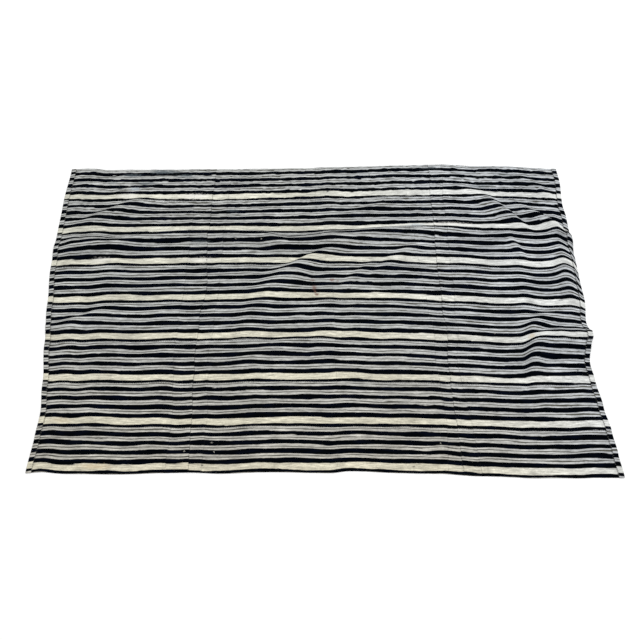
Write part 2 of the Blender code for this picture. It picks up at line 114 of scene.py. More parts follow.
# The crest of each ridge, left to right: its X, the strips from the back edge, and in
# millimetres its height, how wide its back and front slopes are, and how far it leans back
Crest = namedtuple("Crest", "x strips height back front lean")
FOLDS = {
    "long ridge": [
        Crest(-0.83, 2.44, 3, 40, 44, 0), Crest(-0.78, 2.40, 9, 44, 52, 1),
        Crest(-0.735, 2.38, 17, 50, 56, 4), Crest(-0.675, 2.39, 19, 46, 54, 6),
        Crest(-0.61, 2.38, 18, 38, 48, 8), Crest(-0.575, 2.32, 17, 36, 46, 8),
        Crest(-0.53, 2.22, 17, 34, 46, 7), Crest(-0.47, 2.17, 19, 32, 50, 3),
        Crest(-0.40, 2.15, 19, 32, 50, 3), Crest(-0.30, 2.15, 19, 32, 50, 3),
        Crest(-0.22, 2.16, 19, 32, 50, 3), Crest(-0.18, 2.19, 18, 36, 48, 6),
        Crest(-0.15, 2.27, 19, 42, 44, 8), Crest(-0.12, 2.36, 20, 46, 42, 8),
        Crest(-0.085, 2.40, 19, 48, 40, 7), Crest(-0.025, 2.36, 19, 48, 42, 7),
        Crest(0.035, 2.30, 19, 48, 44, 8), Crest(0.10, 2.24, 18, 46, 46, 8),
        Crest(0.16, 2.16, 17, 42, 48, 8), Crest(0.225, 2.10, 15, 36, 46, 7),
        Crest(0.285, 2.06, 13, 34, 44, 6), Crest(0.345, 2.02, 11, 32, 40, 5),
        Crest(0.41, 1.98, 9, 28, 34, 3), Crest(0.47, 1.95, 6, 26, 28, 1),
        Crest(0.53, 1.92, 4, 24, 26, 0), Crest(0.60, 1.90, 0, 20, 20, 0),
    ],
    "ridge to the middle": [
        Crest(-0.23, 5.00, 0, 30, 40, 0), Crest(-0.205, 4.60, 6, 48, 60, 1),
        Crest(-0.18, 4.20, 9, 58, 70, 2), Crest(-0.146, 3.66, 12, 66, 74, 3),
        Crest(-0.115, 3.42, 14, 60, 74, 5), Crest(-0.085, 3.22, 15, 44, 70, 7),
        Crest(-0.055, 3.02, 15, 29, 62, 7), Crest(-0.024, 2.86, 12, 27, 52, 6),
        Crest(0.015, 2.69, 9, 24, 44, 5), Crest(0.08, 2.48, 4, 22, 30, 1),
    ],
    "short ridge in the middle": [
        Crest(-0.28, 5.70, 0, 24, 34, 0), Crest(-0.20, 5.50, 5, 36, 46, 1),
        Crest(-0.12, 5.18, 7, 38, 52, 2), Crest(-0.04, 4.98, 5, 32, 50, 2),
        Crest(0.06, 4.88, 0, 20, 30, 0),
    ],
    "branch right of the middle": [
        Crest(0.15, 3.55, 0, 18, 22, 0), Crest(0.18, 3.22, 4, 24, 28, 1),
        Crest(0.23, 2.88, 6, 28, 34, 2), Crest(0.28, 2.58, 6, 28, 34, 2),
        Crest(0.34, 2.40, 0, 18, 22, 0),
    ],
    "branch in the middle": [
        Crest(0.06, 3.70, 0, 16, 20, 0), Crest(0.10, 3.40, 5, 18, 28, 1),
        Crest(0.15, 3.08, 5, 18, 28, 1), Crest(0.20, 2.90, 0, 16, 20, 0),
    ],
    "upper right ridge": [
        Crest(0.43, 0.58, 0, 24, 28, 0), Crest(0.482, 0.82, 6, 34, 42, 1),
        Crest(0.507, 0.97, 9, 42, 44, 2), Crest(0.533, 1.12, 11, 38, 44, 4),
        Crest(0.558, 1.26, 12, 28, 44, 6), Crest(0.583, 1.43, 13, 21, 42, 6),
        Crest(0.609, 1.61, 12, 20, 38, 6), Crest(0.634, 1.80, 8, 20, 32, 4),
        Crest(0.665, 2.00, 0, 18, 24, 0),
    ],
    "right corner ridge": [
        Crest(0.62, 1.16, 0, 20, 22, 0), Crest(0.655, 1.38, 7, 24, 34, 3),
        Crest(0.685, 1.52, 12, 21, 34, 6), Crest(0.71, 1.69, 14, 25, 36, 6),
        Crest(0.735, 1.85, 15, 29, 38, 6), Crest(0.755, 1.95, 14, 30, 38, 6),
        Crest(0.773, 2.05, 13, 30, 36, 6), Crest(0.79, 2.14, 9, 30, 32, 3),
        Crest(0.82, 2.20, 8, 20, 24, 2),
    ],
    "roll down the right side": [
        Crest(0.765, 2.10, 0, 22, 34, 0), Crest(0.757, 2.48, 11, 26, 42, 1),
        Crest(0.755, 3.00, 14, 28, 44, 3), Crest(0.752, 3.45, 12, 28, 42, 2),
        Crest(0.755, 3.85, 6, 26, 36, 0), Crest(0.765, 4.15, 0, 22, 30, 0),
    ],
    "ruck at the right end": [
        Crest(0.59, 6.05, 0, 20, 20, 0), Crest(0.60, 5.62, 10, 22, 46, 3),
        Crest(0.615, 5.20, 19, 36, 60, 6), Crest(0.655, 4.96, 22, 56, 66, 9),
        Crest(0.74, 4.90, 23, 58, 66, 9), Crest(0.82, 4.88, 24, 58, 66, 9),
    ],
    "small ridge above the ruck": [
        Crest(0.595, 4.95, 0, 16, 24, 0), Crest(0.612, 4.70, 6, 24, 44, 2),
        Crest(0.634, 4.46, 11, 32, 48, 4), Crest(0.663, 4.30, 10, 32, 44, 4),
        Crest(0.70, 4.20, 5, 26, 30, 1), Crest(0.74, 4.15, 0, 16, 18, 0),
    ],
    "step left of the ruck": [
        Crest(0.40, 6.02, 0, 16, 20, 0), Crest(0.47, 6.00, 4, 18, 30, 1),
        Crest(0.54, 5.95, 5, 18, 30, 1), Crest(0.60, 5.92, 0, 16, 20, 0),
    ],
    "upper left ridge": [
        Crest(-0.76, 1.78, 0, 18, 24, 0), Crest(-0.72, 1.62, 7, 24, 44, 1),
        Crest(-0.67, 1.42, 10, 26, 56, 2), Crest(-0.61, 1.20, 9, 26, 54, 2),
        Crest(-0.55, 1.00, 6, 24, 40, 1), Crest(-0.48, 0.94, 0, 18, 24, 0),
    ],
    "lower left ridge": [
        Crest(-0.80, 4.62, 0, 22, 28, 0), Crest(-0.75, 4.56, 8, 28, 44, 2),
        Crest(-0.69, 4.44, 11, 28, 50, 3), Crest(-0.62, 4.20, 6, 26, 38, 1),
        Crest(-0.52, 4.02, 0, 20, 20, 0),
    ],
    "low ridge before the left corner": [
        Crest(-0.71, 6.46, 0, 18, 24, 0), Crest(-0.66, 6.60, 4, 22, 36, 1),
        Crest(-0.59, 6.76, 5, 22, 38, 1), Crest(-0.53, 6.88, 3, 20, 30, 0),
        Crest(-0.47, 6.98, 0, 16, 20, 0),
    ],
    "top right pucker": [
        Crest(0.63, 0.25, 0, 16, 18, 0), Crest(0.67, 0.42, 3, 22, 24, 1),
        Crest(0.71, 0.66, 4, 26, 26, 1), Crest(0.74, 0.95, 4, 26, 24, 1),
        Crest(0.76, 1.15, 0, 18, 18, 0),
    ],
    "pucker before the long ridge": [
        Crest(0.03, 1.62, 0, 16, 18, 0), Crest(0.11, 1.44, 4, 22, 28, 1),
        Crest(0.19, 1.24, 5, 22, 28, 1), Crest(0.27, 1.10, 0, 16, 18, 0),
    ],
    "pucker right of the long ridge": [
        Crest(0.585, 2.10, 0, 14, 16, 0), Crest(0.60, 2.35, 5, 18, 22, 2),
        Crest(0.62, 2.62, 5, 18, 22, 1), Crest(0.63, 2.85, 0, 14, 16, 0),
    ],
}
# The higher this is, the less two ridges add up where they meet
BLEND_POWER = 3.0

# Lines pressed into the cloth where it had been folded away: in millimetres the height and how
# wide each side is, how dark its painted shade and dirt are, how far the bands jog across it, and its
# course
Press = namedtuple("Press", "height width shade jog course")
CREASES = {
    "left main crease": Press(1.6, 8, 0.62, 1.6, [
        End(0.0, -0.330), End(1.5, -0.336), End(2.6, -0.339), End(3.5, -0.331), End(4.5, -0.345),
        End(5.5, -0.349), End(6.5, -0.345), End(8.0, -0.341)]),
    "left inner crease": Press(0.8, 6, 0.30, 0.5, [
        End(0.0, -0.279), End(2.5, -0.291), End(3.5, -0.294), End(5.5, -0.311), End(8.0, -0.308)]),
    "left outer crease": Press(0.8, 6, 0.30, 0.6, [
        End(0.0, -0.392), End(3.0, -0.396), End(5.0, -0.408), End(8.0, -0.404)]),
    "right main crease": Press(1.6, 8, 0.66, -1.5, [
        End(0.0, 0.357), End(1.5, 0.360), End(3.5, 0.364), End(5.5, 0.368), End(6.5, 0.374),
        End(8.0, 0.386)]),
    "right inner crease": Press(0.7, 6, 0.32, 0.4, [
        End(0.0, 0.275), End(1.5, 0.290), End(3.5, 0.316), End(5.5, 0.334), End(8.0, 0.345)]),
    "right outer crease": Press(0.8, 6, 0.34, -0.6, [
        End(0.0, 0.400), End(3.0, 0.402), End(6.5, 0.412), End(8.0, 0.434)]),
    "crease in the middle": Press(0.6, 5, 0.22, 0.3, [
        End(0.0, -0.010), End(2.0, 0.004), End(3.5, 0.040), End(5.5, 0.048), End(8.0, 0.050)]),
}

# The hem's section, from the single cloth round the end to the raw edge under the turned cloth:
# how far each point of the cloth's middle is from the end and how high it lies, in millimetres
Turn = namedtuple("Turn", "from_end height")
HEM_SECTION = [
    Turn(19.0, 0.60), Turn(16.6, 0.58), Turn(14.6, 0.52), Turn(11.0, 0.50), Turn(7.0, 0.50),
    Turn(3.6, 0.50), Turn(1.9, 0.52), Turn(1.0, 0.78), Turn(0.55, 1.20), Turn(0.50, 1.70),
    Turn(0.90, 2.16), Turn(1.8, 2.44), Turn(3.6, 2.50), Turn(7.0, 2.50), Turn(10.6, 2.50),
    Turn(13.2, 2.46), Turn(14.2, 2.26), Turn(14.5, 1.98), Turn(14.1, 1.68), Turn(13.0, 1.52),
    Turn(9.0, 1.50), Turn(5.0, 1.50), Turn(2.8, 1.50),
]
# Each layer of a hem is pressed thinner than the cloth
HEM_LAYER = 0.90 * MM


def linear(code: str) -> tuple[float, float, float, float]:
    """Turns an sRGB hex value into Blender's linear colour.

    Args:
        code: Six hex digits, such as "E5E0CA".

    Returns:
        Red, green, blue and an alpha of 1.
    """
    parts = [int(code[k:k + 2], 16) / 255 for k in (0, 2, 4)]
    red, green, blue = (c / 12.92 if c <= 0.04045 else ((c + 0.055) / 1.055) ** 2.4 for c in parts)
    return (red, green, blue, 1.0)


def smooth_between(rows: list[tuple], at: np.ndarray) -> np.ndarray:
    """Reads a table at the places asked for, level at each of its rows.

    Args:
        rows: Pairs of a place and its value, the places rising.
        at: The places asked for.

    Returns:
        The value at each place asked for.
    """
    places, values = np.array(rows, dtype=float).T
    at = np.clip(at, places[0], places[-1])
    row = np.clip(np.searchsorted(places, at, side="right") - 1, 0, len(places) - 2)
    part = (at - places[row]) / (places[row + 1] - places[row])
    ease = part * part * (3.0 - 2.0 * part)
    return values[row] + (values[row + 1] - values[row]) * ease


def end_to_end(length: np.ndarray, strips: np.ndarray) -> np.ndarray:
    """Finds a point's X between the cloth's two short ends.

    Args:
        length: Share of the cloth's length, from the left end.
        strips: Strips from the back edge.

    Returns:
        The X of each point.
    """
    left, right = smooth_between(LEFT_END, strips), smooth_between(RIGHT_END, strips)
    return left + (right - left) * length


def share_at(x: float, strips: float) -> float:
    """Finds the share of the cloth's length at an X.

    Args:
        x: The X on the floor.
        strips: Strips from the back edge.

    Returns:
        The share of the length, from the left end.
    """
    left, right = end_to_end(np.array([0.0, 1.0]), np.array([strips, strips])).tolist()
    return (x - left) / (right - left)


def along_cut(x: float, strips: float) -> float:
    """Finds how far along its cut strip a place on the laid cloth is.

    Args:
        x: The X on the floor.
        strips: Strips from the back edge.

    Returns:
        The distance from the strip's left raw edge.
    """
    return HEM_CLOTH + share_at(x, strips) * CLOTH_LENGTH


@dataclass
class Lay:
    """How the cloth lies: its underside and its steepness over an even grid of the flat cloth."""

    columns: int = 512
    samples: int = 64
    curve_steps: int = 8
    ripple_height: float = 0.5 * MM
    pucker_height: float = 0.35 * MM
    x: np.ndarray = field(init=False)
    strips: np.ndarray = field(init=False)
    underside: np.ndarray = field(init=False)
    steepness: np.ndarray = field(init=False)

    def __post_init__(self) -> None:
        """Works out the grid, with the arc of every column shared out over the floor."""
        length, self.strips = np.meshgrid(
            np.linspace(0.0, 1.0, self.columns + 1),
            np.linspace(0.0, STRIPS, STRIPS * self.samples + 1), indexing="ij")
        self.x = end_to_end(length, self.strips)
        height, lean = self.ridges()
        rise = np.diff(height, axis=1) * self.samples / STRIP_WIDTH
        floor_share = np.sqrt(np.clip(1.0 - rise ** 2, 0.04, 1.0))
        covered = np.cumsum(floor_share, axis=1)
        covered = np.hstack([np.zeros((len(covered), 1)), covered / covered[:, -1:]])
        back = smooth_between(BACK_EDGE, self.x[:, :1])
        front = smooth_between(FRONT_EDGE, self.x[:, -1:])
        y = back + (front - back) * covered + self.creep() + lean + TO_MIDDLE
        height = height + self.creases() + self.ripples()
        self.underside = np.stack([self.x, y, height], axis=-1)
        along = np.gradient(self.underside, axis=0)
        across = -np.gradient(self.underside, axis=1)
        normal = np.cross(along, across)
        self.steepness = np.linalg.norm(normal, axis=-1) / normal[..., 2]

    def crest_line(self, crests: list[Crest]) -> np.ndarray:
        """Runs a smooth curve through a ridge's crest rows.

        Args:
            crests: The ridge's rows.

        Returns:
            Points of the curve, each with all the sizes of a row.
        """
        rows = np.array(crests, dtype=float)
        padded = np.vstack([2 * rows[0] - rows[1], rows, 2 * rows[-1] - rows[-2]])
        points = []
        for before, start, end, after in zip(padded, padded[1:], padded[2:], padded[3:]):
            for t in np.arange(self.curve_steps) / self.curve_steps:
                points.append(0.5 * (
                    2 * start + (end - before) * t
                    + (2 * before - 5 * start + 4 * end - after) * t ** 2
                    + (3 * start - before - 3 * end + after) * t ** 3))
        points.append(rows[-1])
        return np.array(points)

    def ridge_shape(self, crests: list[Crest]) -> tuple[np.ndarray, np.ndarray]:
        """Finds one ridge's height and lean, from how far each point is from its crest.

        Args:
            crests: The ridge's rows.

        Returns:
            The height and the lean at each point.
        """
        line = self.crest_line(crests)
        line_x, line_y = line[:, 0], -line[:, 1] * STRIP_WIDTH
        x, y = self.x, -self.strips * STRIP_WIDTH
        height, lean = np.zeros(x.shape), np.zeros(x.shape)
        reach = max(max(crest.back, crest.front) for crest in crests) * MM
        for k in range(len(line) - 1):
            low_x, high_x = sorted(line_x[k:k + 2])
            low_y, high_y = sorted(line_y[k:k + 2])
            near = np.nonzero((x > low_x - reach) & (x < high_x + reach)
                              & (y > low_y - reach) & (y < high_y + reach))
            run_x, run_y = line_x[k + 1] - line_x[k], line_y[k + 1] - line_y[k]
            along = (x[near] - line_x[k]) * run_x + (y[near] - line_y[k]) * run_y
            along = np.clip(along / (run_x ** 2 + run_y ** 2), 0.0, 1.0)
            off_x = x[near] - line_x[k] - along * run_x
            off_y = y[near] - line_y[k] - along * run_y
            crest = Crest(*(line[k] + (line[k + 1] - line[k]) * along[:, None]).T)
            behind = run_x * off_y - run_y * off_x > 0
            width = np.where(behind, crest.back, crest.front) * MM
            level = np.cos(np.clip(np.hypot(off_x, off_y) / width, 0.0, 1.0) * math.pi / 2) ** 2
            height[near] = np.maximum(height[near], crest.height * MM * level)
            lean[near] = np.maximum(lean[near], crest.lean * MM * level)
        return height, lean

    def ridges(self) -> tuple[np.ndarray, np.ndarray]:
        """Blends all the ridges into the cloth's height and its lean to the back.

        Returns:
            The height and the lean at each point.
        """
        height, lean = np.zeros(self.x.shape), np.zeros(self.x.shape)
        for crests in FOLDS.values():
            one_height, one_lean = self.ridge_shape(crests)
            height += one_height ** BLEND_POWER
            lean += one_lean ** BLEND_POWER
        return height ** (1 / BLEND_POWER), lean ** (1 / BLEND_POWER)

    def creep(self) -> np.ndarray:
        """Finds how far the cloth has crept towards the back edge.

        Returns:
            The creep at each point.
        """
        at_seams = np.stack([smooth_between(list(zip(CREEP_STATIONS, row.at_stations)), self.x)
                             for row in CREEP])
        seam = np.clip(self.strips.astype(int), 0, STRIPS - 1)
        part = self.strips - seam
        ease = part * part * (3.0 - 2.0 * part)
        before = np.take_along_axis(at_seams, seam[None], axis=0)[0]
        after = np.take_along_axis(at_seams, seam[None] + 1, axis=0)[0]
        return (before + (after - before) * ease) * MM

    def creases(self) -> np.ndarray:
        """Raises the pressed lines as soft ridges, stronger in some strips than in others.

        Returns:
            The height of the lines at each point.
        """
        height = np.zeros(self.x.shape)
        for number, press in enumerate(CREASES.values()):
            line = np.interp(self.strips, *np.array(press.course).T)
            off = np.abs(self.x - line) / (press.width * MM)
            uneven = 0.75 + 0.35 * np.sin(self.strips * 2.3 + number * 1.7)
            height = np.maximum(height, press.height * MM * uneven * np.exp(-1.6 * off))
        return height

    def ripples(self) -> np.ndarray:
        """Adds the slight unevenness of hand-woven cloth and the pull of the seams.

        Returns:
            The height of the ripples at each point, never below 0.
        """
        draw = np.random.default_rng(7)
        x, y = self.x, self.strips * STRIP_WIDTH
        wave = np.zeros(x.shape)
        for length in (0.31, 0.22, 0.15, 0.11, 0.08, 0.06):
            turn, phase = draw.uniform(0, math.pi), draw.uniform(0, 2 * math.pi)
            wave += np.sin((x * math.cos(turn) + y * math.sin(turn)) * 2 * math.pi / length + phase)
        height = self.ripple_height * np.clip(wave / 3.0 + 0.35, 0.0, None) ** 1.5
        seam = np.round(self.strips)
        to_seam = np.abs(self.strips - seam) * STRIP_WIDTH
        pull = np.sin(x * 2 * math.pi / 0.036 + seam * 2.1) * np.sin(x * 2 * math.pi / 0.29 + seam)
        pull = np.clip(pull, 0.0, None) * np.exp(-to_seam / (9 * MM))
        inner = (seam > 0) & (seam < STRIPS)
        return height + self.pucker_height * pull * inner

    def at(self, length: np.ndarray, strips: np.ndarray) -> tuple[np.ndarray, np.ndarray]:
        """Reads the lay anywhere on the cloth.

        Args:
            length: Share of the cloth's length, from the left end.
            strips: Strips from the back edge.

        Returns:
            The underside's point and its steepness, which is how much higher one layer stands,
            measured straight up, than it is thick.
        """
        column = np.clip(length * self.columns, 0, self.columns - 1e-6)
        sample = np.clip(strips * self.samples, 0, STRIPS * self.samples - 1e-6)
        i, j = column.astype(int), sample.astype(int)
        p, q = column - i, sample - j
        read = []
        for grid in (self.underside, self.steepness[..., None]):
            near = grid[i, j] * (1 - q)[:, None] + grid[i, j + 1] * q[:, None]
            far = grid[i + 1, j] * (1 - q)[:, None] + grid[i + 1, j + 1] * q[:, None]
            read.append(near * (1 - p)[:, None] + far * p[:, None])
        return read[0], read[1][:, 0]

    def frame_at(self, length: float, strips: float, above: float) -> Matrix:
        """Makes the matrix that sets a small piece on the face of the cloth.

        Args:
            length: Share of the cloth's length, from the left end.
            strips: Strips from the back edge.
            above: How high the face lies over the underside.

        Returns:
            A matrix with X along the strips, Y to the back edge and Z off the face.
        """
        step = 0.002
        spots, steep = self.at(np.array([length, length - step, length + step, length, length]),
                               np.array([strips, strips, strips, strips - 0.02, strips + 0.02]))
        along = Vector(spots[2] - spots[1]).normalized()
        across = Vector(spots[3] - spots[4])
        normal = along.cross(across).normalized()
        across = normal.cross(along)
        place = Vector(spots[0]) + Vector((0, 0, above * steep[0]))
        turned = Matrix((along, across, normal)).transposed().to_4x4()
        return Matrix.Translation(place) @ turned


class Colour(Enum):
    """A colour kept as the six digits of its sRGB hex value."""

    @property
    def linear(self) -> tuple[float, float, float, float]:
        """Gives the colour as Blender wants it."""
        return linear(self.value)


class Yarn(Colour):
    """The colours of yarn in the cloth."""

    INDIGO = "020407"
    INDIGO_WORN = "060A17"
    PALE_BLUE = "B9BBB9"
    PALE_WARM = "BCB9B0"
    PALE_COOL = "BEC2C6"
    MIDDLE_LINE = "55544D"
    NATURAL = "D4D3C5"
    BEIGE = "D2C8AB"
    COOL_WHITE = "D7D9D7"


class Stain(Colour):
    """The colours of marks and worn places on the cloth, the painted shade and dirt along its pressed
    lines and the painted shade along its hems.
    """

    RUST = "75554C"
    INDIGO_SPECK = "0C141C"
    INDIGO_SMUDGE = "5C666C"
    BLUE_HAZE = "B4BDC4"
    WASHED_OUT = "E9E7E2"
    YELLOWED = "C4B08C"
    # Painted shade and dirt along the pressed lines
    CREASE_SHADE_AND_DIRT = "1A1A1C"
    # Painted shade along the sunken inner edge of each hem
    HEM_PAINTED_SHADE = "101114"


# Bands of one strip from its back selvedge, in millimetres of cloth
BAND_PITCH = 24.5
PALE_BAND = 12.0
MIDDLE_LINE_WIDTH = 2.5
EVEN_BANDS = 4
CREAM_BAND = 17.2
BAND_EDGE = 0.6

# Marks on the cloth: X, strips from the back edge, and in millimetres how long and wide
Mark = namedtuple("Mark", "x strips length width strength")
MARKS = {
    Stain.RUST: [
        Mark(-0.018, 3.45, 16, 9, 0.5), Mark(-0.011, 3.66, 17, 15, 0.7),
        Mark(-0.008, 3.79, 7, 10, 0.6), Mark(-0.003, 3.85, 12, 8, 0.85),
        Mark(0.042, 3.46, 15, 10, 0.8), Mark(0.058, 3.48, 12, 8, 0.45),
    ],
    Stain.INDIGO_SPECK: [
        Mark(-0.633, 0.60, 22, 9, 0.85), Mark(-0.306, 7.84, 6, 5, 0.7),
        Mark(-0.329, 3.09, 5, 4, 0.7), Mark(0.732, 5.66, 6, 5, 0.75),
        Mark(0.680, 6.64, 5, 5, 0.6), Mark(0.697, 6.47, 5, 4, 0.6),
        Mark(0.254, 7.86, 7, 4, 0.6), Mark(0.716, 3.81, 16, 5, 0.45),
    ],
    Stain.INDIGO_SMUDGE: [
        Mark(-0.60, 0.20, 60, 15, 0.5), Mark(-0.50, 0.07, 95, 15, 0.75),
        Mark(-0.55, 0.45, 70, 13, 0.5), Mark(-0.43, 0.22, 60, 14, 0.55),
        Mark(-0.66, 0.42, 40, 11, 0.4), Mark(-0.27, 1.30, 40, 10, 0.4),
        Mark(0.60, 0.26, 80, 14, 0.4), Mark(0.52, 0.64, 90, 12, 0.5),
        Mark(-0.36, 2.40, 60, 13, 0.35), Mark(0.36, 0.10, 60, 10, 0.35),
    ],
    Stain.BLUE_HAZE: [Mark(-0.585, 0.63, 34, 12, 0.7), Mark(0.305, 1.87, 60, 18, 0.75)],
    Stain.WASHED_OUT: [
        Mark(-0.39, 0.86, 90, 20, 0.7), Mark(-0.605, 0.85, 70, 18, 0.5),
        Mark(0.41, 1.84, 130, 18, 0.6), Mark(-0.355, 2.86, 80, 18, 0.5),
        Mark(-0.66, 2.85, 60, 20, 0.4),
    ],
    Stain.YELLOWED: [
        Mark(-0.59, 7.84, 85, 14, 0.55), Mark(0.615, 4.86, 20, 16, 0.5),
        Mark(-0.70, 6.86, 60, 14, 0.35),
    ],
}


@dataclass
class Nodes:
    """The nodes of one material, from its bare shader up."""

    name: str
    roughness: float
    specular: float
    material: bpy.types.Material = field(init=False)

    def __post_init__(self) -> None:
        """Makes the material and sets its shader."""
        self.material = bpy.data.materials.new(self.name)
        self.material.use_nodes = True
        inputs = self.material.node_tree.nodes["Principled BSDF"].inputs
        inputs["Roughness"].default_value = self.roughness
        inputs["Specular IOR Level"].default_value = self.specular

    def add(self, kind: str, settings: dict | None = None,
            links: dict | None = None) -> bpy.types.Node:
        """Adds one node with its settings and its inputs.

        Args:
            kind: Blender's name for the node, without the start that all shader nodes share.
            settings: Properties of the node.
            links: For each input, a value or the output that feeds it.

        Returns:
            The new node.
        """
        tree = self.material.node_tree
        node = tree.nodes.new("ShaderNode" + kind)
        for name, value in (settings or {}).items():
            setattr(node, name, value)
        for name, value in (links or {}).items():
            if isinstance(value, Socket):
                tree.links.new(value, node.inputs[name])
            else:
                node.inputs[name].default_value = value
        return node

    def maths(self, operation: str, *values: Socket | float | tuple, kind: str = "Math") -> Socket:
        """Works one value out from up to three, or one vector.

        Args:
            operation: Blender's name for what is worked out.
            values: The values or vectors, or the outputs that give them.
            kind: "VectorMath" for vectors.

        Returns:
            The result.
        """
        return self.add(kind, {"operation": operation}, dict(enumerate(values))).outputs[0]

    def remap(self, value: Socket, span: tuple, to: tuple = (0.0, 1.0), soft: bool = False) -> Socket:
        """Turns one range of values into another and holds it at its two ends.

        Args:
            value: The output that gives the value.
            span: Where the range starts and ends.
            to: What those two ends become.
            soft: Whether the change starts and stops gently.

        Returns:
            The new value.
        """
        return self.add("MapRange", {"interpolation_type": "SMOOTHSTEP" if soft else "LINEAR"}, {
            "Value": value, "From Min": span[0], "From Max": span[1],
            "To Min": to[0], "To Max": to[1]}).outputs[0]

    def blend(self, share: Socket, one: Socket | tuple, other: Socket | tuple) -> Socket:
        """Mixes two colours.

        Args:
            share: How much of the second colour there is.
            one: The first colour, or the output that gives it.
            other: The second colour, or the output that gives it.

        Returns:
            The mixed colour.
        """
        return self.add("Mix", {"data_type": "RGBA"}, {0: share, 6: one, 7: other}).outputs[2]

    def shade(self, colour: Socket | tuple, tone: Socket) -> Socket:
        """Makes a colour lighter or darker.

        Args:
            colour: The colour, or the output that gives it.
            tone: What the colour is multiplied by.

        Returns:
            The shaded colour.
        """
        return self.add("VectorMath", {"operation": "SCALE"}, {0: colour, "Scale": tone}).outputs[0]

    def ramp(self, value: Socket, stops: list[tuple]) -> bpy.types.NodeOutputs:
        """Adds a colour ramp.

        Args:
            value: What the ramp follows.
            stops: Each stop's place and its colour of four numbers.

        Returns:
            The ramp's outputs, its colour and its alpha.
        """
        node = self.add("ValToRGB", {}, {"Fac": value})
        elements = node.color_ramp.elements
        while len(elements) < len(stops):
            elements.new(0.5)
        for element, (place, colour) in zip(elements, stops):
            element.position = place
            element.color = colour
        return node.outputs

    def finish(self, colour: Socket, normal: Socket | None = None) -> bpy.types.Material:
        """Feeds the shader.

        Args:
            colour: The colour.
            normal: The normal, where there is relief.

        Returns:
            The finished material.
        """
        tree = self.material.node_tree
        shader = tree.nodes["Principled BSDF"]
        tree.links.new(colour, shader.inputs["Base Color"])
        if normal is not None:
            tree.links.new(normal, shader.inputs["Normal"])
        return self.material


@dataclass
class ClothNodes(Nodes):
    """The nodes of the cloth's material, which all read the place on the flat cloth."""

    flat: Socket = field(init=False)
    place: Socket = field(init=False)
    along: Socket = field(init=False)
    down: Socket = field(init=False)

    def __post_init__(self) -> None:
        """Reads the cloth's own UV map, and turns it into a place in millimetres."""
        super().__post_init__()
        self.flat = self.add("UVMap", {"uv_map": "flat cloth"}).outputs["UV"]
        size = (CUT_LENGTH / MM, STRIPS * STRIP_WIDTH / MM, 0)
        self.place = self.maths("MULTIPLY", self.flat, size, kind="VectorMath")
        axes = self.add("SeparateXYZ", {}, {0: self.place}).outputs
        self.along, self.down = axes["X"], axes["Y"]

    def cells(self, long: float, wide: float, detail: float = 2.0) -> Socket:
        """Adds a noise whose cells have a real size.

        Args:
            long: How long a cell is along the warp, in millimetres.
            wide: How wide it is, in millimetres.
            detail: The noise's detail.

        Returns:
            The noise, around 0.5.
        """
        scaled = self.maths("MULTIPLY", self.place, (1 / long, 1 / wide, 1), kind="VectorMath")
        return self.add("TexNoise", {"noise_dimensions": "2D"},
                        {"Vector": scaled, "Scale": 1.0, "Detail": detail}).outputs["Fac"]

    def drift(self, value: Socket, span: tuple, most: float, one: Socket | tuple,
              other: Yarn) -> Socket:
        """Lets one colour drift into a yarn's.

        Args:
            value: What the drift follows.
            span: The values where it starts and ends.
            most: The yarn's share at the end.
            one: The first colour, or the output that gives it.
            other: The yarn.

        Returns:
            The drifting colour.
        """
        return self.blend(self.remap(value, span, (0.0, most)), one, other.linear)


# How the bands stray: in millimetres how long and wide the cells of a stray are and how far it
# goes, and whether it is kept to the back strips
Stray = namedtuple("Stray", "long wide reach at_back")
STRAYS = [
    Stray(150, 60, 4.0, False), Stray(140, 10, 6.8, False), Stray(45, 9, 2.2, False),
    Stray(10, 3, 1.0, False), Stray(26, 7, 6.0, True),
]

# How the pale yarns' tone varies: in millimetres how long and wide the cells are, their detail,
# and the darkest and lightest tone
Tone = namedtuple("Tone", "long wide detail dark light")
TONES = [
    Tone(26, 2.6, 3.0, 0.72, 1.24), Tone(75, 5, 4.0, 0.82, 1.14), Tone(160, 70, 3.0, 0.88, 1.10),
    Tone(5, 3, 2.0, 0.88, 1.10),
]


